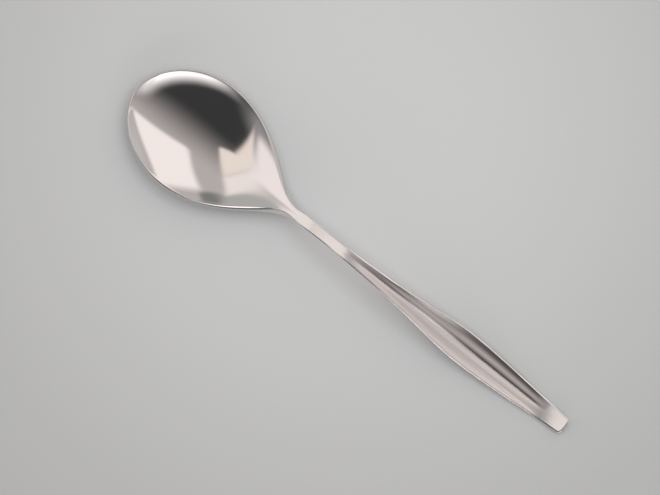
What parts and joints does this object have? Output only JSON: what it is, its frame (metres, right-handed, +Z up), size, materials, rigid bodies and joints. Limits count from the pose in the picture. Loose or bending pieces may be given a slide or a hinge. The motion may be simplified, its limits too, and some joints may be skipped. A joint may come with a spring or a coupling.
{
  "type": "soup spoon",
  "caption": "One-piece metal soup spoon with an oval bowl, slim arched neck and ribbed tapering handle.",
  "frame": {"origin": "on the table under the middle of the spoon's length, with the spoon lying bowl up", "axes": "+X from the bowl to the handle end, +Z up from the table, Y across the bowl"},
  "size_m": [0.195, 0.0434, 0.017],
  "materials": {
    "stainless_steel": "bowl polished, neck and handle satin with fine lengthwise brush lines"
  },
  "bodies": {
    "root": {"spoon": "stainless_steel"}
  },
  "joints": []
}
